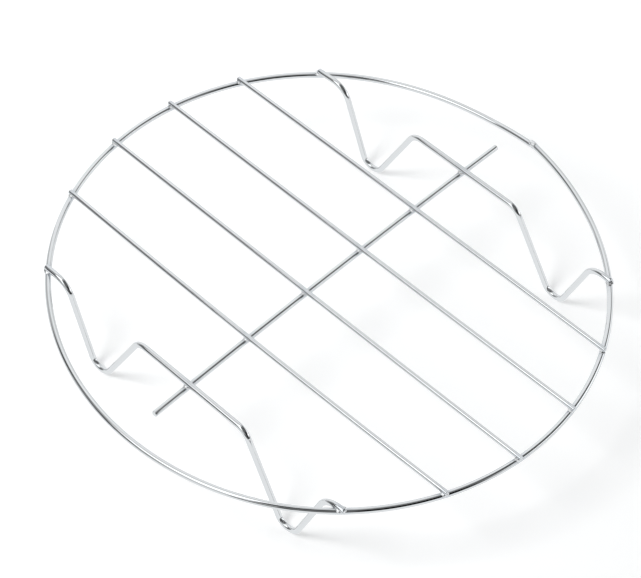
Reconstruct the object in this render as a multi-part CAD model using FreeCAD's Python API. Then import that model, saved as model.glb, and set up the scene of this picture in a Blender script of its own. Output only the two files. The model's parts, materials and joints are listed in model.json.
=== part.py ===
import FreeCAD, Part
import math
import os

from FreeCAD import Vector

# Round wire cooling rack, in millimetres.
# X runs along the rack bars, left to right. Y runs from the front to the rear. Z is up.
# The origin is on the table, under the middle of the rim.

# Wires, by diameter
RIM_WIRE = 3.0
BAR_WIRE = 2.5
CROSS_WIRE = 3.0
LEG_WIRE = 3.0

# Rim: one wire bent round, with its two ends butt-welded
RIM_RADIUS = 130.0          # to the wire's centre line
RIM_HEIGHT = 42.0           # centre line above the table
RIM_JOINT_ANGLE = 85.0      # degrees from +X to the butt weld
RIM_END_TURN = 20.0         # the bending rolls leave this much of each end flatter, in degrees
RIM_END_RADIUS = 166.0      # of those two flatter ends
RIM_JOINT_GAP = 0.8         # between the two ends, filled by the weld

# Rack bars: parallel, lying on the rim
BAR_COUNT = 4
BAR_PITCH = 36.8
BAR_SHIFT = 1.9             # the whole set sits this far towards the rear
BAR_OVERHANG = 1.5          # past the rim wire's centre line

# Cross bar: level with the rim, under the rack bars and the leg wires, with two free ends
CROSS_SHIFT = 0.5           # it sits this far to the left
CROSS_FRONT_GAP = 17.0      # from the rim wire's centre line to the front end
CROSS_REAR_GAP = 13.0       # and to the rear end

# Leg wires: one at the front and one at the rear, each with two V-shaped feet.
# Runs are measured along X between the sharp corners that the bends round off.
LEG_INSET = 38.0            # from the rim's frontmost or rearmost centre line to the flat runs
LEG_SHIFT = 2.6             # the bends sit this far to the right
LEG_FLAT_END = 11.6         # from the rim wire's centre line to the V's crest
LEG_OUTER_SLOPE = 18.7      # from the crest to the V's point
LEG_INNER_SLOPE = 28.1      # from the point to the end of the flat middle
INNER_BEND = 8.0            # bend radii, to the wire's centre line
FOOT_BEND = 6.5
CREST_BEND = 11.0

# The bends are set by hand, so each foot differs a little. Its corners lie this much further
# out than the runs above say, and the V splays outwards by this much between top and table.
# From the inner corner outwards the wire swings towards the rear by this much at the rim, and
# it ends this far past the rim wire's centre line.
FEET = {
    "front": {
        "left": {"inner": 0.5, "foot": -1.0, "crest": 1.2, "splay": 0.5, "swing": -0.4, "overhang": 1.6},
        "right": {"inner": 0.1, "foot": 2.9, "crest": 2.3, "splay": 1.75, "swing": 1.0, "overhang": 2.8},
    },
    "rear": {
        "left": {"inner": 0.7, "foot": -2.3, "crest": -0.5, "splay": 1.1, "swing": -2.0, "overhang": 1.2},
        "right": {"inner": -1.9, "foot": -0.5, "crest": -0.1, "splay": 3.9, "swing": -2.0, "overhang": 1.2},
    },
}

# Joints between wires
SET_DOWN = 0.3              # depth to which an upper wire is pressed into a lower one
BEAD_REACH = 0.7            # how far a weld bead stands out past the upper wire's side
BEAD_HEIGHT = 1.7
BEAD_ROUNDING = 0.7
BUTT_LENGTH = 4.4           # of the thickened butt weld along the rim
BUTT_RISE = 0.35            # of the butt weld above the rim wire
BUTT_ROOT = 0.3             # its rounded ends run this far under the rim wire's surface
END_CHAMFER = 0.25          # on cut wire ends

# Heights of the wires' centre lines
BAR_HEIGHT = RIM_HEIGHT + (RIM_WIRE + BAR_WIRE) / 2 - SET_DOWN
LEG_TOP_HEIGHT = RIM_HEIGHT + (RIM_WIRE + LEG_WIRE) / 2 - SET_DOWN
CROSS_HEIGHT = BAR_HEIGHT - (BAR_WIRE + CROSS_WIRE) / 2 + SET_DOWN
FOOT_HEIGHT = LEG_WIRE / 2

LEG_PLANE = RIM_RADIUS - LEG_INSET

UP = Vector(0, 0, 1)
ALONG_X = Vector(1, 0, 0)
ALONG_Y = Vector(0, 1, 0)


def rim_reach(y):
    """Distance along X from the middle of the rack to the rim's centre line."""
    return math.sqrt(RIM_RADIUS ** 2 - y ** 2)


def rod(path, diameter):
    """A round wire along a path of lines and arcs that run smoothly into each other."""
    first = path.Edges[0]
    start = first.valueAt(first.FirstParameter)
    direction = first.tangentAt(first.FirstParameter)
    section = Part.Wire(Part.makeCircle(diameter / 2, start, direction))
    return path.makePipe(Part.Face(section))


def straight_rod(start, direction, length, diameter):
    return Part.makeCylinder(diameter / 2, length, start, direction)


def chamfer_ends(wire, ends):
    """Take the sharp edge off the cut ends whose centres are given."""
    edges = []
    for edge in wire.Edges:
        is_round = isinstance(edge.Curve, Part.Circle)
        if is_round and any(edge.Curve.Center.distanceToPoint(end) < 1e-4 for end in ends):
            edges.append(edge)
    if len(edges) != len(ends):
        raise ValueError("a wire end to chamfer wasn't found")
    return wire.makeChamfer(END_CHAMFER, edges)


def bent_path(corners, radii):
    """Straight runs between the corners, joined by tangent arcs of the given radii."""
    edges = []
    start = corners[0]
    for before, corner, after, radius in zip(corners, corners[1:], corners[2:], radii):
        to_before = (before - corner).normalize()
        to_after = (after - corner).normalize()
        half_angle = to_before.getAngle(to_after) / 2
        setback = radius / math.tan(half_angle)
        to_centre = (to_before + to_after).normalize()
        centre = corner + to_centre * (radius / math.sin(half_angle))
        arc_start = corner + to_before * setback
        arc_end = corner + to_after * setback
        edges.append(Part.LineSegment(start, arc_start).toShape())
        edges.append(Part.Arc(arc_start, centre - to_centre * radius, arc_end).toShape())
        start = arc_end
    edges.append(Part.LineSegment(start, corners[-1]).toShape())
    return Part.Wire(edges)


# Rim ------------------------------------------------------------------------

def rim_joint():
    """Centre of the butt weld and the direction of the rim there."""
    turn = math.radians(RIM_JOINT_ANGLE)
    end_turn = math.radians(RIM_END_TURN)
    offset = RIM_END_RADIUS - RIM_RADIUS
    aside = offset * math.sin(end_turn)
    peak = math.sqrt(RIM_END_RADIUS ** 2 - aside ** 2) - offset * math.cos(end_turn)
    place = Vector(peak * math.cos(turn), peak * math.sin(turn), RIM_HEIGHT)
    return place, Vector(-math.sin(turn), math.cos(turn), 0)


def rim_point(angle):
    """A point on the rim's centre line, angle in degrees from +X."""
    turn = math.radians(angle)
    return Vector(RIM_RADIUS * math.cos(turn), RIM_RADIUS * math.sin(turn), RIM_HEIGHT)


def rim_end(bend, side):
    """The flatter arc from one end of the round bend to the gap at the joint, side 1 or -1."""
    joint, _ = rim_joint()
    hub = Vector(0, 0, RIM_HEIGHT)
    centre = hub + (hub - bend).normalize() * (RIM_END_RADIUS - RIM_RADIUS)
    whole = math.degrees((bend - centre).getAngle(joint - centre))
    swept = whole - math.degrees(RIM_JOINT_GAP / 2 / RIM_END_RADIUS)

    def at(angle):
        return centre + FreeCAD.Rotation(UP, -side * angle).multVec(bend - centre)

    return [bend, at(swept / 2), at(swept)]


def make_rim():
    bend_start = rim_point(RIM_JOINT_ANGLE + RIM_END_TURN)
    bend_end = rim_point(RIM_JOINT_ANGLE + 360 - RIM_END_TURN)
    opposite = rim_point(RIM_JOINT_ANGLE + 180)
    first = rim_end(bend_start, 1)
    last = rim_end(bend_end, -1)
    path = Part.Wire([
        Part.Arc(*first[::-1]).toShape(),
        Part.Arc(bend_start, opposite, bend_end).toShape(),
        Part.Arc(*last).toShape(),
    ])
    return rod(path, RIM_WIRE)


def make_butt_weld(rim):
    """A short barrel around the rim's two ends that also fills the gap between them."""
    joint, direction = rim_joint()
    half_length = BUTT_LENGTH / 2
    end_radius = RIM_WIRE / 2 - BUTT_ROOT
    middle_radius = RIM_WIRE / 2 + BUTT_RISE
    left = Vector(-half_length, 0, 0)
    right = Vector(half_length, 0, 0)
    left_edge = Vector(-half_length, end_radius, 0)
    right_edge = Vector(half_length, end_radius, 0)
    outline = Part.Wire([
        Part.LineSegment(left, left_edge).toShape(),
        Part.Arc(left_edge, Vector(0, middle_radius, 0), right_edge).toShape(),
        Part.LineSegment(right_edge, right).toShape(),
        Part.LineSegment(right, left).toShape(),
    ])
    barrel = Part.Face(outline).revolve(Vector(0, 0, 0), ALONG_X, 360)
    barrel.Placement = FreeCAD.Placement(joint, FreeCAD.Rotation(ALONG_X, direction))
    return barrel.cut(rim)


# Straight wires -------------------------------------------------------------

def bar_places():
    """Y of each rack bar, from the front to the rear."""
    first = BAR_SHIFT - BAR_PITCH * (BAR_COUNT - 1) / 2
    return [first + BAR_PITCH * number for number in range(BAR_COUNT)]


def make_bar(y, wires_below):
    reach = rim_reach(y) + BAR_OVERHANG
    left = Vector(-reach, y, BAR_HEIGHT)
    right = Vector(reach, y, BAR_HEIGHT)
    bar = straight_rod(left, ALONG_X, 2 * reach, BAR_WIRE)
    return chamfer_ends(bar, [left, right]).cut(wires_below)


def make_cross_bar():
    front = Vector(-CROSS_SHIFT, CROSS_FRONT_GAP - RIM_RADIUS, CROSS_HEIGHT)
    rear = Vector(-CROSS_SHIFT, RIM_RADIUS - CROSS_REAR_GAP, CROSS_HEIGHT)
    bar = straight_rod(front, ALONG_Y, rear.y - front.y, CROSS_WIRE)
    return chamfer_ends(bar, [front, rear])


# Leg wires ------------------------------------------------------------------

def sharp_depth(to_inner, to_crest, depth):
    """Depth of a V's sharp corner, found by repeated steps, that leaves its bend at the given depth.

    The corner lies to_inner from the inner corner and to_crest from the crest, along X.
    """
    sharp = depth
    for _ in range(20):
        inner_slope = math.atan(to_inner / sharp)
        outer_slope = math.atan(to_crest / sharp)
        lean = (outer_slope - inner_slope) / 2
        half_angle = (inner_slope + outer_slope) / 2
        sharp = depth + FOOT_BEND * (math.cos(lean) / math.sin(half_angle) - 1)
    return sharp


def foot_corners(y, outwards_x, outwards_y, setting):
    """Inner corner, point, crest and end of one side, in order from the wire's middle outwards."""
    nominal_crest = rim_reach(y) - LEG_FLAT_END
    nominal_foot = nominal_crest - LEG_OUTER_SLOPE
    inner = nominal_foot - LEG_INNER_SLOPE + setting["inner"]
    foot = nominal_foot + setting["foot"]
    crest = nominal_crest + setting["crest"]
    tilt = math.atan(setting["splay"] / (LEG_TOP_HEIGHT - FOOT_HEIGHT))
    depth = (LEG_TOP_HEIGHT - FOOT_HEIGHT) / math.cos(tilt)
    sharp = sharp_depth(foot - inner, crest - foot, depth)
    inner_x = LEG_SHIFT + outwards_x * inner
    foot_x = LEG_SHIFT + outwards_x * foot
    crest_x = LEG_SHIFT + outwards_x * crest
    rim_x = outwards_x * rim_reach(y + setting["swing"])
    end_x = rim_x + outwards_x * setting["overhang"]

    def swung_y(x):
        return y + setting["swing"] * (x - inner_x) / (rim_x - inner_x)

    point_y = swung_y(foot_x) + outwards_y * sharp * math.sin(tilt)
    return [
        Vector(inner_x, y, LEG_TOP_HEIGHT),
        Vector(foot_x, point_y, LEG_TOP_HEIGHT - sharp * math.cos(tilt)),
        Vector(crest_x, swung_y(crest_x), LEG_TOP_HEIGHT),
        Vector(end_x, swung_y(end_x), LEG_TOP_HEIGHT),
    ]


def make_leg_wire(y, feet, wires_below):
    outwards_y = math.copysign(1, y)
    left = foot_corners(y, -1, outwards_y, feet["left"])
    right = foot_corners(y, 1, outwards_y, feet["right"])
    radii = [INNER_BEND, FOOT_BEND, CREST_BEND]
    path = bent_path(left[::-1] + right, radii[::-1] + radii)
    leg = rod(path, LEG_WIRE)
    return chamfer_ends(leg, [left[-1], right[-1]]).cut(wires_below)


# Welds ----------------------------------------------------------------------

def make_bead(x, y, lower_top, upper_wire, wires):
    """A rounded puddle of metal around the place where one wire crosses another."""
    radius = upper_wire / 2 + BEAD_REACH
    contact = lower_top - SET_DOWN / 2
    base = Vector(x, y, contact - BEAD_HEIGHT / 2)
    puddle = Part.makeCylinder(radius, BEAD_HEIGHT, base, UP)
    rims = [edge for edge in puddle.Edges if isinstance(edge.Curve, Part.Circle)]
    return puddle.makeFillet(BEAD_ROUNDING, rims).cut(wires)


def make_beads(name, places, upper, upper_wire, rim, cross_bar):
    """The welds under one upper wire, given its Y at the rim's left, the cross bar and the rim's right."""
    rim_top = RIM_HEIGHT + RIM_WIRE / 2
    cross_top = CROSS_HEIGHT + CROSS_WIRE / 2
    left, middle, right = places
    return {
        f"weld_{name}_left": make_bead(-rim_reach(left), left, rim_top, upper_wire, [upper, rim]),
        f"weld_{name}_middle": make_bead(
            -CROSS_SHIFT, middle, cross_top, upper_wire, [upper, cross_bar]),
        f"weld_{name}_right": make_bead(rim_reach(right), right, rim_top, upper_wire, [upper, rim]),
    }


def make_rack():
    rim = make_rim()
    cross_bar = make_cross_bar()
    nodes = {"rim_ring": rim, "cross_bar": cross_bar, "weld_rim_butt": make_butt_weld(rim)}
    lower_wires = [rim, cross_bar]
    for number, y in enumerate(bar_places(), start=1):
        bar = make_bar(y, lower_wires)
        nodes[f"rack_bar_{number}"] = bar
        nodes.update(make_beads(f"bar_{number}", (y, y, y), bar, BAR_WIRE, rim, cross_bar))
    for side, y in (("front", -LEG_PLANE), ("rear", LEG_PLANE)):
        feet = FEET[side]
        leg = make_leg_wire(y, feet, lower_wires)
        nodes[f"leg_wire_{side}"] = leg
        places = (y + feet["left"]["swing"], y, y + feet["right"]["swing"])
        nodes.update(make_beads(f"leg_{side}", places, leg, LEG_WIRE, rim, cross_bar))
    return nodes


os.makedirs("parts", exist_ok=True)
for name, shape in make_rack().items():
    if len(shape.Solids) != 1 or not shape.isValid():
        raise ValueError(f"{name} isn't one sound solid")
    shape.Solids[0].exportStep(f"parts/{name}.step")
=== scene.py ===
import json
import math

import bmesh
import bpy
from bpy.props import FloatProperty, FloatVectorProperty, IntProperty, PointerProperty
from mathutils import Matrix, Vector, noise

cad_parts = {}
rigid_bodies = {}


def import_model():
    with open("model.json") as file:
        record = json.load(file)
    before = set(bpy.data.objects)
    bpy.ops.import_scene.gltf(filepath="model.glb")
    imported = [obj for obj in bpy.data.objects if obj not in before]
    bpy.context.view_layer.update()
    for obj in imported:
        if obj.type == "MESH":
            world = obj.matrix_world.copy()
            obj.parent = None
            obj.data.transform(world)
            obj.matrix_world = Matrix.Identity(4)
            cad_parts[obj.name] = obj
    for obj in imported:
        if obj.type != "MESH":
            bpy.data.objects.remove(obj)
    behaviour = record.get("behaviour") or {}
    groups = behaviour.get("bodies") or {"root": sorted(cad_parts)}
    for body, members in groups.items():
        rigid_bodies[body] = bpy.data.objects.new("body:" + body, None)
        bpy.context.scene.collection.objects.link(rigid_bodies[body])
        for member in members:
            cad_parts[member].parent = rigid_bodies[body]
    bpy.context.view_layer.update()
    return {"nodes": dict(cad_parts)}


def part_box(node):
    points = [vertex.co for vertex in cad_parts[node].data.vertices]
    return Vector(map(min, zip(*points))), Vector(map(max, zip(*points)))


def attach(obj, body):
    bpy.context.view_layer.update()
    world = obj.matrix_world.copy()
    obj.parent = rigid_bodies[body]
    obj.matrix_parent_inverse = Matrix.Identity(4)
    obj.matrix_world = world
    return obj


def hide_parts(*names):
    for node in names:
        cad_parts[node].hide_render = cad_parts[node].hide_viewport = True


bl_info = {
    "name": "Round wire cooling rack",
    "version": (1, 0, 0),
    "blender": (4, 5, 0),
    "location": "3D View > Sidebar > Cooling rack",
    "description": "Builds the plated wires and welds of a round cooling rack around its packed frame",
    "category": "Object",
}

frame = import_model()

BODY = "root"
MM = 0.001
UP = Vector((0, 0, 1))
ALONG_X = Vector((1, 0, 0))
ALONG_Y = Vector((0, 1, 0))

RIM_LOW, RIM_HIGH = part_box("rim_ring")
BAR_NAMES = sorted(name for name in frame["nodes"] if name.startswith("rack_bar_"))
LEG_NAMES = ("leg_wire_front", "leg_wire_rear")


# Sizes and finishes that a user would change -----------------------------------

class CoolingRackFoot(bpy.types.PropertyGroup):
    """How one foot differs from the leg wire's common runs"""
    inner: FloatProperty(
        name="Inner corner", description="Further out than the common runs put it",
        unit="LENGTH", subtype="DISTANCE", default=0.0)
    point: FloatProperty(
        name="Point", description="Further out than the common runs put it",
        unit="LENGTH", subtype="DISTANCE", default=0.0)
    crest: FloatProperty(
        name="Crest", description="Further out than the common runs put it",
        unit="LENGTH", subtype="DISTANCE", default=0.0)
    splay: FloatProperty(
        name="Splay", description="Outward lean between the top and the table",
        unit="LENGTH", subtype="DISTANCE", default=0.0)
    swing: FloatProperty(
        name="Swing", description="Towards the rear at the rim, from the inner corner outwards",
        unit="LENGTH", subtype="DISTANCE", default=0.0)
    overhang: FloatProperty(
        name="Overhang", description="From the rim's centre line to the wire's end",
        unit="LENGTH", subtype="DISTANCE", default=1.2 * MM)
    dip: FloatProperty(
        name="Dip", description="How far the electrode pushed the wire's end down",
        unit="LENGTH", subtype="DISTANCE", default=0.0)


class CoolingRackBow(bpy.types.PropertyGroup):
    """How far one wire lies beside its straight line"""
    start: FloatProperty(
        name="Start", description="Sideways at the left or front end",
        unit="LENGTH", subtype="DISTANCE", default=0.0)
    middle: FloatProperty(
        name="Middle", description="Sideways at the middle",
        unit="LENGTH", subtype="DISTANCE", default=0.0)
    end: FloatProperty(
        name="End", description="Sideways at the right or rear end",
        unit="LENGTH", subtype="DISTANCE", default=0.0)


class CoolingRackSizes(bpy.types.PropertyGroup):
    """Sizes of the wires and welds that the frame's boxes don't give by themselves"""
    sides: IntProperty(
        name="Sides", description="Sides of a wire's round section", default=32, min=12)
    station: FloatProperty(
        name="Station", description="Distance between two sections of a straight run",
        unit="LENGTH", subtype="DISTANCE", default=5 * MM)
    fine_station: FloatProperty(
        name="Fine station", description="Distance between two sections beside a weld",
        unit="LENGTH", subtype="DISTANCE", default=0.5 * MM)
    end_bevel: FloatProperty(
        name="End bevel", description="Rounding of a cut wire end",
        unit="LENGTH", subtype="DISTANCE", default=0.25 * MM)
    press_length: FloatProperty(
        name="Pressed length", description="Length of the flat that the welding electrode leaves",
        unit="LENGTH", subtype="DISTANCE", default=3.6 * MM)
    press_depth: FloatProperty(
        name="Pressed depth", description="Depth of the flat that the welding electrode leaves",
        unit="LENGTH", subtype="DISTANCE", default=0.12 * MM)
    joint_angle: FloatProperty(
        name="Butt weld place", description="Turn from +X to the rim's butt weld",
        unit="ROTATION", subtype="ANGLE", default=math.radians(84.5))
    joint_lift: FloatProperty(
        name="Rim joint lift", description="Height of the butt weld above the rim's level",
        unit="LENGTH", subtype="DISTANCE", default=2.2 * MM)
    end_turn: FloatProperty(
        name="Flatter ends", description="Turn that each of the rim's flatter ends takes",
        unit="ROTATION", subtype="ANGLE", default=math.radians(20))
    end_radius: FloatProperty(
        name="End radius", description="Bend radius of the rim's two flatter ends",
        unit="LENGTH", subtype="DISTANCE", default=166 * MM)
    joint_gap: FloatProperty(
        name="Rim gap", description="Gap between the rim's two ends, inside the weld",
        unit="LENGTH", subtype="DISTANCE", default=0.8 * MM)
    butt_length: FloatProperty(
        name="Butt weld length", description="Length of the thick place at the rim's joint",
        unit="LENGTH", subtype="DISTANCE", default=4.4 * MM)
    butt_shift: FloatProperty(
        name="Butt weld shift", description="How far its metal was pushed out past the two ends",
        unit="LENGTH", subtype="DISTANCE", default=0.25 * MM)
    butt_rise: FloatProperty(
        name="Butt weld rise", description="Height of the thick place above the wire",
        unit="LENGTH", subtype="DISTANCE", default=0.32 * MM)
    bead_reach: FloatProperty(
        name="Bead reach", description="How far a spot weld's metal shows beside the upper wire",
        unit="LENGTH", subtype="DISTANCE", default=0.75 * MM)
    leg_bead_reach: FloatProperty(
        name="Leg bead reach", description="The same, where a leg wire lies on the rim",
        unit="LENGTH", subtype="DISTANCE", default=1.05 * MM)
    bead_height: FloatProperty(
        name="Bead height", description="Height of a spot weld's metal",
        unit="LENGTH", subtype="DISTANCE", default=1.9 * MM)
    leg_wire: FloatProperty(
        name="Leg wire", description="Diameter of the leg wires",
        unit="LENGTH", subtype="DISTANCE", default=3 * MM)
    leg_shift: FloatProperty(
        name="Leg shift", description="The leg wires' bends sit this far to the right",
        unit="LENGTH", subtype="DISTANCE", default=2.6 * MM)
    leg_flat_end: FloatProperty(
        name="Flat end", description="From the rim's centre line to the crest",
        unit="LENGTH", subtype="DISTANCE", default=11.6 * MM)
    leg_outer_slope: FloatProperty(
        name="Outer slope", description="From the crest to the point of the foot, along X",
        unit="LENGTH", subtype="DISTANCE", default=18.7 * MM)
    leg_inner_slope: FloatProperty(
        name="Inner slope", description="From the point of the foot to the inner corner, along X",
        unit="LENGTH", subtype="DISTANCE", default=28.1 * MM)
    inner_bend: FloatProperty(
        name="Inner bend", description="Bend radius of the wire's centre line",
        unit="LENGTH", subtype="DISTANCE", default=8 * MM)
    foot_bend: FloatProperty(
        name="Foot bend", description="Bend radius of the wire's centre line",
        unit="LENGTH", subtype="DISTANCE", default=6.5 * MM)
    crest_bend: FloatProperty(
        name="Crest bend", description="Bend radius of the wire's centre line",
        unit="LENGTH", subtype="DISTANCE", default=11 * MM)
    front_left: PointerProperty(type=CoolingRackFoot)
    front_right: PointerProperty(type=CoolingRackFoot)
    rear_left: PointerProperty(type=CoolingRackFoot)
    rear_right: PointerProperty(type=CoolingRackFoot)
    rack_bar_1: PointerProperty(type=CoolingRackBow)
    rack_bar_2: PointerProperty(type=CoolingRackBow)
    rack_bar_3: PointerProperty(type=CoolingRackBow)
    rack_bar_4: PointerProperty(type=CoolingRackBow)
    cross_bar: PointerProperty(type=CoolingRackBow)


class CoolingRackFinish(bpy.types.PropertyGroup):
    """Colours of the plating and the welds, and the painted shade in the welds' hollows"""
    chrome: FloatVectorProperty(
        name="Chrome", description="Colour of the bright plating",
        subtype="COLOR", size=4, default=(0.84, 0.85, 0.86, 1))
    chrome_dull: FloatVectorProperty(
        name="Dull chrome", description="Colour of the plating beside a weld",
        subtype="COLOR", size=4, default=(0.66, 0.69, 0.73, 1))
    weld: FloatVectorProperty(
        name="Weld", description="Colour of the plated weld metal",
        subtype="COLOR", size=4, default=(0.93, 0.935, 0.94, 1))
    # Painted shade: a darker colour laid into the weld metal's hollows.
    weld_dark: FloatVectorProperty(
        name="Weld hollows", description="Colour of the weld metal's hollows",
        subtype="COLOR", size=4, default=(0.5, 0.51, 0.53, 1))


class CoolingRackStudio(bpy.types.PropertyGroup):
    """Camera, floor and light tent"""
    azimuth: FloatProperty(
        name="Azimuth", description="Turn of the camera from the front towards the right",
        unit="ROTATION", subtype="ANGLE", default=math.radians(40.68))
    elevation: FloatProperty(
        name="Elevation", description="Height of the camera above the level",
        unit="ROTATION", subtype="ANGLE", default=math.radians(50.80))
    roll: FloatProperty(
        name="Roll", description="Turn of the camera about its own axis",
        unit="ROTATION", subtype="ANGLE", default=math.radians(4.185))
    distance: FloatProperty(
        name="Distance", description="From the camera to the point that it looks at",
        unit="LENGTH", subtype="DISTANCE", default=1.0273)
    aim: FloatVectorProperty(
        name="Aim", description="Point that the camera looks at, at the rim's height",
        unit="LENGTH", subtype="TRANSLATION", size=2, default=(2.4 * MM, -9.2 * MM))
    lens: FloatProperty(
        name="Lens", description="Focal length in millimetres", default=125.08, min=1)
    floor_radius: FloatProperty(
        name="Floor", description="Radius of the pale floor",
        unit="LENGTH", subtype="DISTANCE", default=1.6)
    floor_glow: FloatProperty(
        name="Floor glow", description="Share of the floor's white that doesn't depend on light",
        subtype="FACTOR", min=0, max=1, default=0.335)
    key_power: FloatProperty(
        name="Key lamp", description="Power of the lamp that gives the floor its soft shadows",
        unit="POWER", min=0, default=12.0)
    key_distance: FloatProperty(
        name="Key distance", description="From the rack to the key lamp",
        unit="LENGTH", subtype="DISTANCE", default=1.6)
    key_size: FloatProperty(
        name="Key size", description="Diameter of the key lamp, which softens the shadows",
        unit="LENGTH", subtype="DISTANCE", default=0.6)
    tent_radius: FloatProperty(
        name="Tent", description="Radius of the light tent",
        unit="LENGTH", subtype="DISTANCE", default=0.9)


# How this rack's hand-bent wires depart from their common runs, in millimetres
FEET = {
    "front_left": {
        "inner": 0.5, "point": -1.0, "crest": 1.2, "splay": 0.5, "swing": -0.4, "overhang": 1.6},
    "front_right": {
        "inner": 0.1, "point": 2.9, "crest": 2.3, "splay": 1.75, "swing": 1.0, "overhang": 2.4,
        "dip": 1.3},
    "rear_left": {
        "inner": 0.7, "point": -2.3, "crest": -0.5, "splay": 1.1, "swing": -2.0, "overhang": 0.6,
        "dip": 0.4},
    "rear_right": {
        "inner": -1.9, "point": -0.5, "crest": -0.1, "splay": 3.9, "swing": -2.0, "overhang": 0.5,
        "dip": 0.3},
}
BOWS = {
    "rack_bar_1": {"start": 0.0, "middle": -1.15, "end": 0.35},
    "rack_bar_2": {"start": 0.6, "middle": 0.0, "end": 0.25},
    "rack_bar_3": {"start": 0.6, "middle": 0.25, "end": 0.6},
    "rack_bar_4": {"start": -0.15, "middle": -0.1, "end": -0.6},
    "cross_bar": {"start": 1.35, "middle": -0.1, "end": 0.65},
}
# Places where the rim leaves its bent line: middle and half width in degrees of turn from its first
# end at the butt weld, and how far outwards. The two ends there are a little out of line.
RIM_SWELLS = ((18, 23, -1.05), (130, 20, 0.25), (218, 20, 0.45), (350, 9, 0.3))
# Both ends also rise to the butt weld: the turn in degrees over which the first and the last one do
RIM_RISES = (10.5, 40)
RISE_ROUNDING = 0.08        # how softly each rise starts
RISE_LEAN = 0.6             # how far the rim comes inwards for each millimetre that it rises

# Steps and limits that shape the meshes
RIM_END_STEPS = 26          # sections along each flatter end of the rim
RIM_ROUND_STEPS = 214       # sections along the rest of it
SAME_PLACE = 1e-6           # points nearer than this, in metres, are one point
PRESS_STEPS = ((1.0, 0.4), (0.72, 0.8), (0.45, 1.0))    # shares of a flat's length and its depth
HEAT_REACH = 6 * MM         # how far from a weld its heat shows
WELD_ASIDE = 4 * MM         # a weld no further than this from a wire's line is on that wire

# Weld beads: the height and the grain of their lumps, and the proportions of a spot weld's bead
BEAD_LUMPS = (0.22 * MM, 0.8 * MM)
COLLAR_LUMPS = (0.12 * MM, 0.9 * MM)
COLLAR_INSET = 0.25 * MM    # how deep the butt weld's edges lie in the wire
BEAD_STRETCH = 1.25
BEAD_NARROWING = 0.8


# Rim and places -----------------------------------------------------------------

RIM_WIRE = RIM_HIGH.z - RIM_LOW.z
RIM_HEIGHT = (RIM_HIGH.z + RIM_LOW.z) / 2
RIM_RADIUS = -RIM_LOW.y - RIM_WIRE / 2
RIM_CENTRE = Vector((0, 0, RIM_HEIGHT))
BAR_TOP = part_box(BAR_NAMES[0])[1].z
SHARP_EDGE = math.radians(40)


def middle(node):
    low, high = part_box(node)
    return (low + high) / 2


def rim_point(turn):
    return RIM_CENTRE + RIM_RADIUS * Vector((math.cos(turn), math.sin(turn), 0))


def rim_reach(y):
    return math.sqrt(RIM_RADIUS ** 2 - y ** 2)


def rim_lift(sizes, turn):
    """Height of the rim above its level at one turn from +X, which is most at the butt weld."""
    from_weld = math.degrees(turn - sizes.joint_angle) % 360
    share = max(1 - from_weld / RIM_RISES[0], 1 - (360 - from_weld) / RIM_RISES[1])
    return sizes.joint_lift * (share + math.hypot(share, RISE_ROUNDING)) / 2


def rim_swell(sizes, turn):
    """Outward departure of the rim from its bent line at one turn from +X."""
    from_weld = math.degrees(turn - sizes.joint_angle) % 360
    rise = -RISE_LEAN * rim_lift(sizes, turn)
    for place, width, height in RIM_SWELLS:
        rise += height * MM * math.exp(-((from_weld - place) / width) ** 2)
    return rise


def bow_at(bow, share):
    """Sideways offset at one share of a wire's length, on a curve through its three set values."""
    return (bow.start * (1 - share) * (1 - 2 * share) + 4 * bow.middle * share * (1 - share)
            + bow.end * share * (2 * share - 1))


def straight_wire(node):
    """Start, end, sideways direction and diameter of a straight wire's nominal line."""
    low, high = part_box(node)
    along, aside = (ALONG_Y, ALONG_X) if node == "cross_bar" else (ALONG_X, ALONG_Y)
    diameter = (high - low).dot(aside)
    centre = (low + high) / 2
    centre.z = high.z - diameter / 2
    half = (high - low).dot(along) / 2
    return centre - along * half, centre + along * half, aside, diameter


def point_on(sizes, node, distance):
    """Centre of a straight wire, with its given bow, at one distance along its length."""
    start, end, aside, _ = straight_wire(node)
    share = distance / (end - start).length
    return start.lerp(end, share) + aside * bow_at(getattr(sizes, node), share)


# Bending wire -------------------------------------------------------------------

def clear_selection():
    bpy.ops.object.select_all(action="DESELECT")


def mark_length(length):
    """Write on the selected section how far along the wire it lies."""
    mesh = bpy.context.object.data
    shape = bmesh.from_edit_mesh(mesh)
    layer = shape.verts.layers.float_vector["drawn"]
    for corner in shape.verts:
        if corner.select:
            place = corner[layer].copy()
            place.z = length
            corner[layer] = place
    bmesh.update_edit_mesh(mesh)


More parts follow.
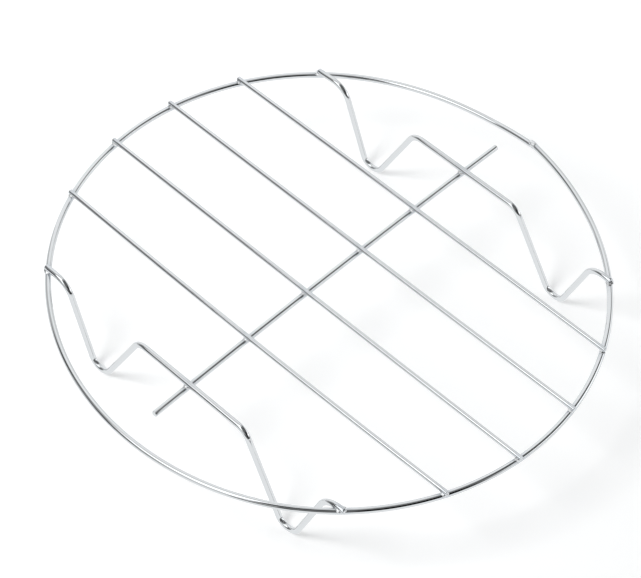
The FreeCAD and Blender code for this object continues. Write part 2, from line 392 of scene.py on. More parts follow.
class WireBender:
    """Draws one wire out of a round section, as runs and bends follow each other."""

    def __init__(self, name, diameter, start, heading, sides):
        clear_selection()
        turn = heading.to_track_quat("Z", "Y")
        bpy.ops.mesh.primitive_circle_add(
            vertices=sides, radius=diameter / 2, fill_type="NGON",
            location=start, rotation=turn.to_euler())
        self.wire = bpy.context.object
        self.wire.name = name
        self.wire.data.name = name
        self.length = 0.0
        drawn = self.wire.data.attributes.new("drawn", "FLOAT_VECTOR", "POINT")
        for corner in self.wire.data.vertices:
            drawn.data[corner.index].vector = (corner.co.x, corner.co.y, 0)
        bpy.ops.object.transform_apply(location=True, rotation=True, scale=True)
        bpy.ops.object.mode_set(mode="EDIT")
        bpy.ops.mesh.select_all(action="SELECT")

    def step(self, way):
        bpy.ops.mesh.extrude_region_move(TRANSFORM_OT_translate={"value": way})
        self.length += way.length
        mark_length(self.length)

    def run(self, way, spacing):
        """Straight on by the given way, in even steps near the given spacing."""
        count = max(1, round(way.length / spacing))
        for _ in range(count):
            self.step(way / count)

    def bend(self, centre, axis, angle, radius, steps):
        """Round the given centre by the given angle. Spin counts its angle the other way."""
        for _ in range(steps):
            bpy.ops.mesh.spin(steps=1, angle=-angle / steps, center=centre, axis=axis)
            self.length += abs(angle) / steps * radius
            mark_length(self.length)

    def press(self, place, top, length, depth):
        """Flatten the wire's top where an electrode stood, deeper in the middle."""
        mesh = self.wire.data
        for share, level in PRESS_STEPS:
            flat = top - depth * level
            shape = bmesh.from_edit_mesh(mesh)
            bpy.ops.mesh.select_all(action="DESELECT")
            chosen = 0
            for corner in shape.verts:
                aside = corner.co - place
                near = math.hypot(aside.x, aside.y) < length / 2 * share
                if near and corner.co.z > flat:
                    corner.select_set(True)
                    chosen += 1
            shape.select_flush_mode()
            bmesh.update_edit_mesh(mesh)
            if chosen:
                bpy.ops.transform.resize(value=(1, 1, 0), center_override=(place.x, place.y, flat))

    def cut(self, end_bevel):
        """Close the wire, round its two cut ends and smooth its skin."""
        mesh = self.wire.data
        shape = bmesh.from_edit_mesh(mesh)
        bpy.ops.mesh.select_all(action="DESELECT")
        for face in shape.faces:
            if len(face.verts) > 4:
                face.select_set(True)
        bmesh.update_edit_mesh(mesh)
        bpy.ops.mesh.bevel(offset=end_bevel, segments=3, affect="EDGES")
        bpy.ops.mesh.select_all(action="SELECT")
        bpy.ops.mesh.remove_doubles(threshold=SAME_PLACE)
        bpy.ops.mesh.normals_make_consistent(inside=False)
        if bmesh.from_edit_mesh(mesh).calc_volume(signed=True) < 0:
            bpy.ops.mesh.flip_normals()
        bpy.ops.object.mode_set(mode="OBJECT")
        clear_selection()
        self.wire.select_set(True)
        bpy.ops.object.shade_smooth_by_angle(angle=SHARP_EDGE)
        return self.wire


def mark_weld_heat(piece, places):
    """Write on each point how near it is to a weld, from 0 away from it to 1 on it."""
    heat = piece.data.attributes.new("weld_heat", "FLOAT", "POINT")
    for corner in piece.data.vertices:
        nearest = min((corner.co - place).length for place in places)
        heat.data[corner.index].value = max(0.0, 1 - nearest / HEAT_REACH)


def settle(piece, node, material):
    """Let a finished piece stand for its node."""
    piece.data.materials.clear()
    piece.data.materials.append(material)
    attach(piece, BODY)
    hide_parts(node)


# Materials ----------------------------------------------------------------------

class NodeDesk:
    """Adds and joins shader nodes, laid out from left to right."""

    def __init__(self, tree):
        self.tree = tree
        self.column = 0

    def add(self, kind, settings=None, **values):
        node = self.tree.nodes.new(kind)
        node.location = (self.column * 180, 0)
        self.column += 1
        for key, value in (settings or {}).items():
            setattr(node, key, value)
        for key, value in values.items():
            place = int(key[1:]) if key[0] == "i" and key[1:].isdigit() else key.replace("_", " ")
            self.feed(node.inputs[place], value)
        return node

    def feed(self, socket, value):
        if isinstance(value, bpy.types.NodeSocket):
            self.tree.links.new(value, socket)
        else:
            socket.default_value = value

    def sum(self, operation, *terms):
        node = self.add("ShaderNodeMath", {"operation": operation})
        for place, term in enumerate(terms):
            self.feed(node.inputs[place], term)
        return node.outputs[0]

    def spread(self, value, low, high, to_low=0.0, to_high=1.0, smooth=False):
        node = self.add("ShaderNodeMapRange")
        node.interpolation_type = "SMOOTHSTEP" if smooth else "LINEAR"
        for place, term in enumerate((value, low, high, to_low, to_high)):
            self.feed(node.inputs[place], term)
        return node.outputs[0]

    def blend(self, share, below, above):
        node = self.add("ShaderNodeMix", {"data_type": "RGBA"})
        self.feed(node.inputs[0], share)
        self.feed(node.inputs[6], below)
        self.feed(node.inputs[7], above)
        return node.outputs[2]


def new_material(name):
    material = bpy.data.materials.new(name)
    material.use_nodes = True
    material.node_tree.nodes.clear()
    return material, NodeDesk(material.node_tree)


def bright_chrome():
    """Chrome on drawn wire: fine lines along it, faint waviness, and a dull tint beside the welds."""
    found = bpy.data.materials.get("bright_chrome")
    if found:
        return found
    finish = bpy.context.scene.cooling_rack_finish
    material, desk = new_material("bright_chrome")
    drawn = desk.add("ShaderNodeAttribute", {"attribute_name": "drawn"})
    heat = desk.add("ShaderNodeAttribute", {"attribute_name": "weld_heat"})
    place = desk.add("ShaderNodeTexCoord")
    stretched = desk.add("ShaderNodeMapping", Vector=drawn.outputs["Vector"], Scale=(4000, 4000, 60))
    lines = desk.add("ShaderNodeTexNoise", Vector=stretched.outputs[0], Scale=1.0, Detail=3.0)
    wavy = desk.add("ShaderNodeTexNoise", Vector=place.outputs["Object"], Scale=90.0, Detail=1.0)
    clouds = desk.add("ShaderNodeTexNoise", Vector=place.outputs["Object"], Scale=700.0, Detail=4.0)
    cloudy = desk.spread(clouds.outputs["Fac"], 0.3, 0.7, 0.5, 1.0)
    warmth = desk.sum("MULTIPLY", heat.outputs["Fac"], cloudy)
    colour = desk.blend(warmth, tuple(finish.chrome), tuple(finish.chrome_dull))
    rough = desk.spread(lines.outputs["Fac"], 0.3, 0.75, 0.02, 0.05)
    rough = desk.sum("ADD", rough, desk.sum("MULTIPLY", warmth, 0.16))
    fine = desk.add("ShaderNodeBump", Strength=0.08, Distance=0.00002, Height=lines.outputs["Fac"])
    broad = desk.add(
        "ShaderNodeBump", Strength=0.25, Distance=0.0002, Height=wavy.outputs["Fac"],
        Normal=fine.outputs[0])
    shader = desk.add(
        "ShaderNodeBsdfPrincipled", Base_Color=colour, Metallic=1.0, Roughness=rough,
        Normal=broad.outputs[0])
    end = desk.add("ShaderNodeOutputMaterial")
    desk.feed(end.inputs[0], shader.outputs[0])
    return material


def plated_weld():
    """Plated weld metal: lumpy, with painted shade darkening its hollows."""
    found = bpy.data.materials.get("plated_weld")
    if found:
        return found
    finish = bpy.context.scene.cooling_rack_finish
    material, desk = new_material("plated_weld")
    place = desk.add("ShaderNodeTexCoord")
    lumps = desk.add("ShaderNodeTexNoise", Vector=place.outputs["Object"], Scale=1100.0, Detail=3.0)
    grain = desk.add("ShaderNodeTexNoise", Vector=place.outputs["Object"], Scale=5000.0, Detail=2.0)
    # Painted shade: the weld metal turns darker where its lumps' bump is low, in the hollows.
    shaded_hollow = desk.spread(lumps.outputs["Fac"], 0.44, 0.32)
    colour = desk.blend(shaded_hollow, tuple(finish.weld), tuple(finish.weld_dark))
    rough = desk.spread(grain.outputs["Fac"], 0.3, 0.7, 0.14, 0.34)
    coarse = desk.add("ShaderNodeBump", Strength=0.5, Distance=0.0002, Height=lumps.outputs["Fac"])
    shader = desk.add(
        "ShaderNodeBsdfPrincipled", Base_Color=colour, Metallic=1.0, Roughness=rough,
        Normal=coarse.outputs[0])
    end = desk.add("ShaderNodeOutputMaterial")
    desk.feed(end.inputs[0], shader.outputs[0])
    return material


def place_from_middle(desk):
    """Turn from the front towards the right in degrees, distance, and height over the distance."""
    place = desk.add("ShaderNodeTexCoord").outputs["Object"]
    x, y, z = desk.add("ShaderNodeSeparateXYZ", Vector=place).outputs
    turn = desk.sum("DEGREES", desk.sum("ARCTAN2", x, desk.sum("MULTIPLY", y, -1.0)))
    reach = desk.add("ShaderNodeVectorMath", {"operation": "LENGTH"})
    desk.feed(reach.inputs[0], place)
    distance = reach.outputs["Value"]
    height = desk.sum("DEGREES", desk.sum("ARCSINE", desk.sum("DIVIDE", z, distance)))
    return turn, distance, height


def card_share(desk, turn, height, turns, heights, softness):
    """1 on a card and 0 beside it, with soft edges."""
    turn_soft, height_soft = softness
    share = None
    for value, edge, soft, rising in (
            (turn, turns[0], turn_soft, True), (turn, turns[1], turn_soft, False),
            (height, heights[0], height_soft, True), (height, heights[1], height_soft, False)):
        low, high = (0.0, 1.0) if rising else (1.0, 0.0)
        part = desk.spread(value, edge - soft, edge + soft, low, high, smooth=True)
        share = part if share is None else desk.sum("MULTIPLY", share, part)
    return share


# Floor, with distances from the middle in metres. The metal shows a table in its place, which ends
# and has a black patch of painted shade at the front left.
PAPER_TONES = (0.79, 0.81)
WHITE_FROM = (0.3, 0.5)
TABLE_END = (0.46, 0.48)
TABLE_TONE = 0.88
# Painted shade: a black patch on the table, which only the metal's reflection shows
SHADE_PATCH_TURNS = (-30, -10)
SHADE_PATCH_REACH = (0.33, 2.0)
SHADE_PATCH_SOFTNESS = (1, 0.01)

# Where the key lamp stands, as a direction from the rack
KEY_SIDE = (-0.33, -0.7, 1.0)


def cloth(tone):
    """A tone as the tent's slightly cool cloth and paper show it."""
    return tone * 0.98, tone, tone * 1.01, 1


def pale_floor(studio):
    """White sweep that keeps the object's shadow. The metal shows it as a pale table with an end and a
    black patch of painted shade.
    """
    material, desk = new_material("white_sweep")
    turn, distance, _ = place_from_middle(desk)
    place = desk.add("ShaderNodeTexCoord")
    paper = desk.add("ShaderNodeTexNoise", Vector=place.outputs["Object"], Scale=400.0, Detail=3.0)
    white = desk.spread(paper.outputs["Fac"], 0.3, 0.7, *PAPER_TONES)
    plain = desk.add("ShaderNodeBsdfDiffuse", Color=white)
    glow = desk.add("ShaderNodeEmission", Color=(1, 1, 1, 1), Strength=studio.floor_glow)
    near = desk.add("ShaderNodeAddShader", i0=plain.outputs[0], i1=glow.outputs[0])
    bright = desk.add("ShaderNodeEmission", Color=(1, 1, 1, 1), Strength=1.0)
    far = desk.spread(distance, *WHITE_FROM, smooth=True)
    shown = desk.add("ShaderNodeMixShader", Fac=far, i1=near.outputs[0], i2=bright.outputs[0])
    path = desk.add("ShaderNodeLightPath")
    seen = desk.sum("MAXIMUM", path.outputs["Is Camera Ray"], path.outputs["Is Transmission Ray"])
    direct = desk.add("ShaderNodeMixShader", Fac=seen, i1=plain.outputs[0], i2=shown.outputs[0])
    # Painted shade: a black patch that only the metal's reflection of the table shows
    painted_shade = card_share(desk, turn, distance, SHADE_PATCH_TURNS, SHADE_PATCH_REACH, SHADE_PATCH_SOFTNESS)
    tone = desk.blend(painted_shade, cloth(TABLE_TONE), cloth(0.0))
    table = desk.add("ShaderNodeEmission", Color=tone, Strength=1.0)
    beyond = desk.add("ShaderNodeBsdfTransparent")
    ends = desk.spread(distance, *TABLE_END)
    mirrored = desk.add("ShaderNodeMixShader", Fac=ends, i1=table.outputs[0], i2=beyond.outputs[0])
    whole = desk.add(
        "ShaderNodeMixShader", Fac=path.outputs["Is Glossy Ray"], i1=direct.outputs[0],
        i2=mirrored.outputs[0])
    end = desk.add("ShaderNodeOutputMaterial")
    desk.feed(end.inputs[0], whole.outputs[0])
    return material


# Light tent: what hangs on its wall. Turns are from the front towards the right and heights from the
# table, in steps of 5 degrees, then the softness of the edges in degrees, and the tone.
TENT_WALL = 0.9
TENT_CARDS = (
    ("roof", (-200, 200), (65, 100), (1, 5), 0.6),
    ("grey cloth on the left", (-90, -25), (0, 50), (1, 1), 0.5),
    ("gap left of the softbox", (-65, -50), (10, 60), (5, 1), 0.05),
    ("open right side", (20, 130), (5, 80), (1, 1), 0.15),
    ("dark room on the right", (55, 95), (5, 50), (1, 5), 0.0),
    ("white card at the right rear", (105, 155), (15, 35), (15, 1), 1.5),
    ("dark gap over the rear wall", (110, 190), (30, 70), (5, 5), 0.1),
    ("front softbox", (-35, 15), (20, 90), (1, 5), 1.5),
    ("grey card under the softbox", (-15, 30), (-10, 30), (1, 5), 0.55),
    ("opening on the left", (-45, -10), (5, 35), (15, 1), 0.0),
    ("opening on the right", (15, 35), (0, 15), (1, 1), 0.0),
    ("white sheet on the right", (55, 105), (-15, 10), (1, 1), 0.85),
    ("dim rear wall on the left", (-200, -150), (0, 45), (15, 15), 0.65),
    ("black strip at the roof's edge", (15, 50), (60, 75), (1, 1), 0.0),
)


def tent_wall():
    material, desk = new_material("tent_wall")
    turn, _, height = place_from_middle(desk)
    colour = cloth(TENT_WALL)
    for _, turns, heights, softness, tone in TENT_CARDS:
        share = card_share(desk, turn, height, turns, heights, softness)
        colour = desk.blend(share, colour, cloth(tone))
    light = desk.add("ShaderNodeEmission", Color=colour, Strength=1.0)
    end = desk.add("ShaderNodeOutputMaterial")
    desk.feed(end.inputs[0], light.outputs[0])
    return material


# Pieces -------------------------------------------------------------------------

class COOLINGRACK_OT_rim(bpy.types.Operator):
    """Bend the rim from one wire and bring its two ends together"""
    bl_idname = "coolingrack.rim"
    bl_label = "Rim"

    def execute(self, context):
        sizes = context.scene.cooling_rack_sizes
        joint = rim_joint(sizes)
        bend_start = rim_point(sizes.joint_angle + sizes.end_turn)
        bend_end = rim_point(sizes.joint_angle - sizes.end_turn)
        first_hub = self.end_hub(sizes, bend_start)
        last_hub = self.end_hub(sizes, bend_end)
        swept = (bend_start - first_hub).angle(joint - first_hub)
        swept -= sizes.joint_gap / 2 / sizes.end_radius
        first_end = first_hub + Matrix.Rotation(-swept, 3, "Z") @ (bend_start - first_hub)
        heading = UP.cross(first_end - first_hub)
        bender = WireBender("rim_wire", RIM_WIRE, first_end, heading, sizes.sides)
        bender.bend(first_hub, UP, swept, sizes.end_radius, RIM_END_STEPS)
        round_turn = 2 * (math.pi - sizes.end_turn)
        bender.bend(RIM_CENTRE, UP, round_turn, RIM_RADIUS, RIM_ROUND_STEPS)
        bender.bend(last_hub, UP, swept, sizes.end_radius, RIM_END_STEPS)
        wire = bender.cut(sizes.end_bevel)
        for corner in wire.data.vertices:
            around = Vector((corner.co.x, corner.co.y, 0)).normalized()
            turn = math.atan2(corner.co.y, corner.co.x)
            corner.co += around * rim_swell(sizes, turn) + UP * rim_lift(sizes, turn)
        mark_weld_heat(wire, weld_places(sizes))
        settle(wire, "rim_ring", bright_chrome())
        return {"FINISHED"}

    @staticmethod
    def end_hub(sizes, bend):
        """Centre of the flatter arc that goes on from one end of the round bend."""
        return RIM_CENTRE - (bend - RIM_CENTRE).normalized() * (sizes.end_radius - RIM_RADIUS)


def rim_joint(sizes):
    """Point where the rim's two flatter ends would meet."""
    offset = sizes.end_radius - RIM_RADIUS
    aside = offset * math.sin(sizes.end_turn)
    peak = math.sqrt(sizes.end_radius ** 2 - aside ** 2) - offset * math.cos(sizes.end_turn)
    return RIM_CENTRE + peak * Vector((math.cos(sizes.joint_angle), math.sin(sizes.joint_angle), 0))


def leg_plane(node):
    return middle(f"weld_{node.replace('leg_wire', 'leg')}_middle").y


def crossing(sizes, weld):
    """Where one weld's two wires cross: point between them, lower wire's direction, both wires."""
    kind, which, place = weld.split("_")[1:]
    upper = f"rack_bar_{which}" if kind == "bar" else f"leg_wire_{which}"
    if kind == "bar":
        start, _, _, _ = straight_wire(upper)
        at = point_on(sizes, upper, (middle(weld) - start).x)
    else:
        at = middle(weld)
    if place == "middle":
        lower = "cross_bar"
        start, _, _, _ = straight_wire(lower)
        at.x = point_on(sizes, lower, at.y - start.y).x
        heading = ALONG_Y
    else:
        lower = "rim_ring"
        reach = RIM_RADIUS + rim_swell(sizes, math.atan2(at.y, at.x))
        at.x = math.copysign(math.sqrt(reach ** 2 - at.y ** 2), at.x)
        heading = Vector((-at.y, at.x, 0)).normalized()
    at.z = middle(weld).z
    return at, heading, upper, lower


def spot_welds():
    return sorted(name for name in frame["nodes"] if name.startswith(("weld_bar_", "weld_leg_")))


def weld_places(sizes):
    places = [crossing(sizes, weld)[0] for weld in spot_welds()]
    return places + [rim_joint(sizes)]


class COOLINGRACK_OT_bars(bpy.types.Operator):
    """Draw the straight rack bars and the cross bar, each with its slight bow"""
    bl_idname = "coolingrack.bars"
    bl_label = "Rack bars and cross bar"

    def execute(self, context):
        sizes = context.scene.cooling_rack_sizes
        welds = weld_places(sizes)
        for node in BAR_NAMES + ["cross_bar"]:
            start, end, _, diameter = straight_wire(node)
            length = (end - start).length
            along = (end - start) / length
            own = [(weld - start).dot(along) for weld in welds if self.on_wire(weld, start, along, node)]
            bender = WireBender(node + "_wire", diameter, point_on(sizes, node, 0), along, sizes.sides)
            done = point_on(sizes, node, 0)
            for distance in self.stations(sizes, length, own):
                here = point_on(sizes, node, distance)
                bender.step(here - done)
                done = here
            if node != "cross_bar":
                for distance in own:
                    bender.press(
                        point_on(sizes, node, distance), BAR_TOP, sizes.press_length, sizes.press_depth)
            wire = bender.cut(sizes.end_bevel)
            mark_weld_heat(wire, welds)
            settle(wire, node, bright_chrome())
        return {"FINISHED"}

    @staticmethod
    def on_wire(weld, start, along, node):
        aside = weld - start - along * (weld - start).dot(along)
        return math.hypot(aside.x, aside.y) < WELD_ASIDE

    @staticmethod
    def stations(sizes, length, welds):
        """Distances of the sections: fine beside each weld and coarse elsewhere."""
        distances = []
        at = 0.0
        while at < length - 1e-9:
            beside = any(abs(at + sizes.fine_station - weld) < sizes.press_length for weld in welds)
            at += sizes.fine_station if beside else min(
                [sizes.station] + [weld - sizes.press_length - at for weld in welds
                                   if weld - sizes.press_length - at > sizes.fine_station / 2])
            distances.append(min(at, length))
        return distances


def sharp_depth(to_inner, to_crest, depth, foot_bend):
    """Depth of a V's sharp corner, found by repeated steps, that leaves its bend at the given depth."""
    sharp = depth
    for _ in range(20):
        inner_slope = math.atan(to_inner / sharp)
        outer_slope = math.atan(to_crest / sharp)
        lean = (outer_slope - inner_slope) / 2
        half_angle = (inner_slope + outer_slope) / 2
        sharp = depth + foot_bend * (math.cos(lean) / math.sin(half_angle) - 1)
    return sharp


def foot_corners(sizes, plane, top, outwards_x, outwards_y, foot):
    """Inner corner, point, crest and end of one side, in order from the wire's middle outwards."""
    nominal_crest = rim_reach(plane) - sizes.leg_flat_end
    nominal_point = nominal_crest - sizes.leg_outer_slope
    inner = nominal_point - sizes.leg_inner_slope + foot.inner
    point = nominal_point + foot.point
    crest = nominal_crest + foot.crest
    drop = top - sizes.leg_wire / 2
    tilt = math.atan(foot.splay / drop)
    sharp = sharp_depth(point - inner, crest - point, drop / math.cos(tilt), sizes.foot_bend)
    inner_x = sizes.leg_shift + outwards_x * inner
    point_x = sizes.leg_shift + outwards_x * point
    crest_x = sizes.leg_shift + outwards_x * crest
    rim_x = outwards_x * rim_reach(plane + foot.swing)
    end_x = rim_x + outwards_x * foot.overhang

    def swung_y(x):
        return plane + foot.swing * (x - inner_x) / (rim_x - inner_x)

    point_y = swung_y(point_x) + outwards_y * sharp * math.sin(tilt)
    return [
        Vector((inner_x, plane, top)),
        Vector((point_x, point_y, top - sharp * math.cos(tilt))),
        Vector((crest_x, swung_y(crest_x), top)),
        Vector((end_x, swung_y(end_x), top - foot.dip)),
    ]


class COOLINGRACK_OT_leg_wires(bpy.types.Operator):
    """Bend the two leg wires with their V-shaped feet"""
    bl_idname = "coolingrack.leg_wires"
    bl_label = "Leg wires"

    def execute(self, context):
        sizes = context.scene.cooling_rack_sizes
        welds = weld_places(sizes)
        for node in LEG_NAMES:
            side = node.rsplit("_", 1)[1]
            plane = leg_plane(node)
            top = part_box(node)[1].z - sizes.leg_wire / 2
            outwards_y = math.copysign(1, plane)
            left_foot = getattr(sizes, side + "_left")
            right_foot = getattr(sizes, side + "_right")
            left = foot_corners(sizes, plane, top, -1, outwards_y, left_foot)
            right = foot_corners(sizes, plane, top, 1, outwards_y, right_foot)
            corners = left[::-1] + right
            radii = [sizes.crest_bend, sizes.foot_bend, sizes.inner_bend]
            radii = radii + radii[::-1]
            heading = corners[1] - corners[0]
            bender = WireBender(node + "_wire", sizes.leg_wire, corners[0], heading, sizes.sides)
            start = corners[0]
            for before, corner, after, radius in zip(corners, corners[1:], corners[2:], radii):
                to_before = (before - corner).normalized()
                to_after = (after - corner).normalized()
                half_angle = to_before.angle(to_after) / 2
                setback = radius / math.tan(half_angle)
                centre = corner + (to_before + to_after).normalized() * (radius / math.sin(half_angle))
                run = corner + to_before * setback - start
                bender.run(run, sizes.station / 2 if abs(run.z) < MM else sizes.station)
                turn = math.pi - 2 * half_angle
                axis = to_after.cross(to_before).normalized()
                bender.bend(centre, axis, turn, radius, max(8, round(math.degrees(turn) / 4)))
                start = corner + to_after * setback
            bender.run(corners[-1] - start, sizes.station / 2)
            wire = bender.cut(sizes.end_bevel)
            mark_weld_heat(wire, welds)
            settle(wire, node, bright_chrome())
        return {"FINISHED"}


# Welds --------------------------------------------------------------------------

# The wire objects that a bead can lie on, by their nodes
WIRE_OF = {"rim_ring": "rim_wire", "cross_bar": "cross_bar_wire"}


def lump(piece, seed, lumps):
    """Make a weld's skin uneven, the same way on each run."""
    amount, grain = lumps
    mesh = piece.data
    offset = Vector((seed * 3.7, seed * 1.3, seed * 2.1))
    for corner in mesh.vertices:
        rise = noise.noise(corner.co / grain + offset)
        corner.co += corner.normal * rise * amount


def carve(piece, tools):
    """Cut the wires out of a weld, so that it only fills the space around them.

    The quick exact cut can lose the whole weld. The slower one, which looks for faces that cross
    each other, is then used in its place.
    """
    for tool in tools:
        uncut = piece.data.copy()
        for thorough in (False, True):
            piece.data = uncut.copy()
            cutter = piece.modifiers.new("wire", "BOOLEAN")
            cutter.operation = "DIFFERENCE"
            cutter.solver = "EXACT"
            cutter.use_self = thorough
            cutter.object = tool
            bpy.context.view_layer.objects.active = piece
            bpy.ops.object.modifier_apply(modifier=cutter.name)
            if piece.data.polygons:
                break
        else:
            raise RuntimeError(f"nothing is left of {piece.name}")


def finish_weld(piece, node):
    clear_selection()
    piece.select_set(True)
    bpy.context.view_layer.objects.active = piece
    bpy.ops.object.shade_smooth_by_angle(angle=SHARP_EDGE)
    settle(piece, node, plated_weld())


class COOLINGRACK_OT_spot_welds(bpy.types.Operator):
    """Set a lumpy bead of metal around each place where one wire crosses another"""
    bl_idname = "coolingrack.spot_welds"
    bl_label = "Spot welds"

    def execute(self, context):
        sizes = context.scene.cooling_rack_sizes
        clear_selection()
        bpy.ops.mesh.primitive_uv_sphere_add(segments=40, ring_count=20, radius=1)
        master = context.object
        bpy.ops.object.mode_set(mode="EDIT")
        bpy.ops.mesh.select_all(action="SELECT")
        bpy.ops.transform.resize(value=(1, 1, BEAD_STRETCH))
        bpy.ops.object.mode_set(mode="OBJECT")
        for number, node in enumerate(spot_welds()):
            at, heading, upper, lower = crossing(sizes, node)
            upper_wire = straight_wire(upper)[3] if upper in BAR_NAMES else sizes.leg_wire
            at_leg_end = upper in LEG_NAMES and lower == "rim_ring"
            across = upper_wire / 2 + (sizes.leg_bead_reach if at_leg_end else sizes.bead_reach)
            bead = master.copy()
            bead.data = master.data.copy()
            bead.name = node + "_bead"
            bead.data.name = bead.name
            context.collection.objects.link(bead)
            tall = sizes.bead_height / (2 * BEAD_STRETCH)
            bead.data.transform(Matrix.Diagonal((across, across * BEAD_NARROWING, tall, 1)))
            lump(bead, number + 1, BEAD_LUMPS)
            turn = math.atan2(heading.y, heading.x)
            bead.data.transform(Matrix.Translation(at) @ Matrix.Rotation(turn, 4, "Z"))
            carve(bead, [bpy.data.objects[upper + "_wire"], bpy.data.objects[WIRE_OF[lower]]])
            finish_weld(bead, node)
        bpy.data.objects.remove(master)
        return {"FINISHED"}


class COOLINGRACK_OT_butt_weld(bpy.types.Operator):
    """Thicken the rim where its two ends are welded together"""
    bl_idname = "coolingrack.butt_weld"
    bl_label = "Butt weld"

    def execute(self, context):
        sizes = context.scene.cooling_rack_sizes
        joint = rim_joint(sizes)
        outwards = Vector((joint.x, joint.y, 0)).normalized()
        hair = math.radians(0.01)
        ends = [rim_swell(sizes, sizes.joint_angle + side * hair) for side in (-1, 1)]
        joint += outwards * (sum(ends) / 2 + sizes.butt_shift)
        joint += UP * rim_lift(sizes, sizes.joint_angle)
        heading = UP.cross(outwards)
        half = sizes.butt_length / 2
        bender = WireBender(
            "weld_rim_butt_collar", RIM_WIRE, joint - heading * half, heading, sizes.sides)
        bender.run(heading * 2 * half, sizes.butt_length / 16)
        bpy.ops.mesh.select_all(action="SELECT")
        bpy.ops.mesh.remove_doubles(threshold=SAME_PLACE)
        bpy.ops.mesh.normals_make_consistent(inside=False)
        bpy.ops.object.mode_set(mode="OBJECT")
        collar = bender.wire
        root = RIM_WIRE / 2 - COLLAR_INSET
        crown = RIM_WIRE / 2 + sizes.butt_rise
        for corner in collar.data.vertices:
            away = (corner.co - joint).dot(heading)
            middle_line = joint + heading * away
            share = away / half
            radius = root + (crown - root) * math.sqrt(max(0.0, 1 - share ** 2)) ** 0.8
            out = corner.co - middle_line
            if out.length > SAME_PLACE:
                corner.co = middle_line + out.normalized() * radius
        lump(collar, 31, COLLAR_LUMPS)
        carve(collar, [bpy.data.objects["rim_wire"]])
        finish_weld(collar, "weld_rim_butt")
        return {"FINISHED"}


class COOLINGRACK_OT_studio(bpy.types.Operator):
    """Set the camera, the pale floor, the light tent and the white background"""
    bl_idname = "coolingrack.studio"
    bl_label = "Studio"

    def execute(self, context):
        studio = context.scene.cooling_rack_studio
        self.set_camera(context, studio)
        clear_selection()
        bpy.ops.mesh.primitive_circle_add(vertices=128, radius=studio.floor_radius, fill_type="NGON")
        floor = context.object
        floor.name = "white_sweep"
        floor.data.materials.append(pale_floor(studio))
        clear_selection()
        bpy.ops.mesh.primitive_uv_sphere_add(segments=96, ring_count=48, radius=studio.tent_radius)
        tent = context.object
        tent.name = "light_tent"
        bpy.ops.object.shade_smooth()
        tent.data.materials.append(tent_wall())
        tent.visible_camera = False
        tent.visible_shadow = False
        self.set_key_lamp(context, studio)
        self.set_background(context)
        context.scene.view_settings.view_transform = "Standard"
        return {"FINISHED"}

    @staticmethod
    def set_camera(context, studio):
        back = Vector((
            math.sin(studio.azimuth) * math.cos(studio.elevation),
            -math.cos(studio.azimuth) * math.cos(studio.elevation),
            math.sin(studio.elevation)))
        level_right = Vector((math.cos(studio.azimuth), math.sin(studio.azimuth), 0))
        level_up = back.cross(level_right)
        right = math.cos(studio.roll) * level_right + math.sin(studio.roll) * level_up
        up = back.cross(right)
        aim = Vector((*studio.aim, RIM_HEIGHT))
        turned = Matrix((right, up, back)).transposed().to_4x4()
        bpy.ops.object.camera_add()
        camera = context.object
        camera.matrix_world = Matrix.Translation(aim + back * studio.distance) @ turned
        camera.data.lens = studio.lens
        camera.data.clip_start = 0.01
        camera.data.clip_end = 20
        context.scene.camera = camera

    @staticmethod
    def set_key_lamp(context, studio):
        """A soft lamp at the front left, for the shadows only: the metal shows the tent instead."""
        clear_selection()
        bpy.ops.object.light_add(type="AREA")
        lamp = context.object
        towards = Vector(KEY_SIDE).normalized()
        lamp.location = towards * studio.key_distance
        lamp.rotation_euler = towards.to_track_quat("Z", "Y").to_euler()
        lamp.data.shape = "DISK"
        lamp.data.size = studio.key_size
        lamp.data.energy = studio.key_power
        lamp.visible_glossy = False
        lamp.visible_camera = False

    @staticmethod
    def set_background(context):
        world = bpy.data.worlds.new("white_room")
        context.scene.world = world
        world.use_nodes = True
        world.node_tree.nodes.clear()
        desk = NodeDesk(world.node_tree)
        path = desk.add("ShaderNodeLightPath")
        strength = desk.spread(path.outputs["Is Camera Ray"], 0.0, 1.0, 0.7, 1.0)
        room = desk.add("ShaderNodeBackground", Color=(1, 1, 1, 1), Strength=strength)
        end = desk.add("ShaderNodeOutputWorld")
        desk.feed(end.inputs[0], room.outputs[0])


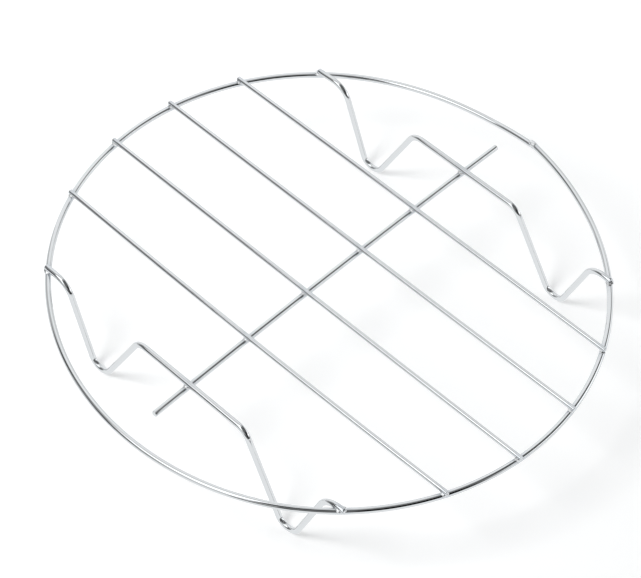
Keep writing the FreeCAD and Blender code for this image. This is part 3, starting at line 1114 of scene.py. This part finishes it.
class COOLINGRACK_PT_panel(bpy.types.Panel):
    """Lists the cooling rack's pieces and its studio"""
    bl_idname = "COOLINGRACK_PT_panel"
    bl_label = "Cooling rack"
    bl_space_type = "VIEW_3D"
    bl_region_type = "UI"
    bl_category = "Cooling rack"

    def draw(self, context):
        for operator in OPERATORS:
            self.layout.operator(operator.bl_idname)
        for group in ("cooling_rack_sizes", "cooling_rack_finish", "cooling_rack_studio"):
            settings = getattr(context.scene, group)
            box = self.layout.box()
            for name in settings.bl_rna.properties.keys():
                if name not in {"rna_type", "name"}:
                    box.prop(settings, name)


OPERATORS = (
    COOLINGRACK_OT_studio,
    COOLINGRACK_OT_rim,
    COOLINGRACK_OT_bars,
    COOLINGRACK_OT_leg_wires,
    COOLINGRACK_OT_spot_welds,
    COOLINGRACK_OT_butt_weld,
)
CLASSES = (
    CoolingRackFoot,
    CoolingRackBow,
    CoolingRackSizes,
    CoolingRackFinish,
    CoolingRackStudio,
    *OPERATORS,
    COOLINGRACK_PT_panel,
)


def register():
    for each in CLASSES:
        bpy.utils.register_class(each)
    bpy.types.Scene.cooling_rack_sizes = PointerProperty(type=CoolingRackSizes)
    bpy.types.Scene.cooling_rack_finish = PointerProperty(type=CoolingRackFinish)
    bpy.types.Scene.cooling_rack_studio = PointerProperty(type=CoolingRackStudio)


def unregister():
    del bpy.types.Scene.cooling_rack_studio
    del bpy.types.Scene.cooling_rack_finish
    del bpy.types.Scene.cooling_rack_sizes
    for each in reversed(CLASSES):
        bpy.utils.unregister_class(each)


def main():
    register()
    sizes = bpy.context.scene.cooling_rack_sizes
    for group in (FEET, BOWS):
        for name, setting in group.items():
            for key, value in setting.items():
                setattr(getattr(sizes, name), key, value * MM)
    bpy.ops.coolingrack.studio()
    bpy.ops.coolingrack.rim()
    bpy.ops.coolingrack.bars()
    bpy.ops.coolingrack.leg_wires()
    bpy.ops.coolingrack.spot_welds()
    bpy.ops.coolingrack.butt_weld()


if __name__ == "__main__":
    main()
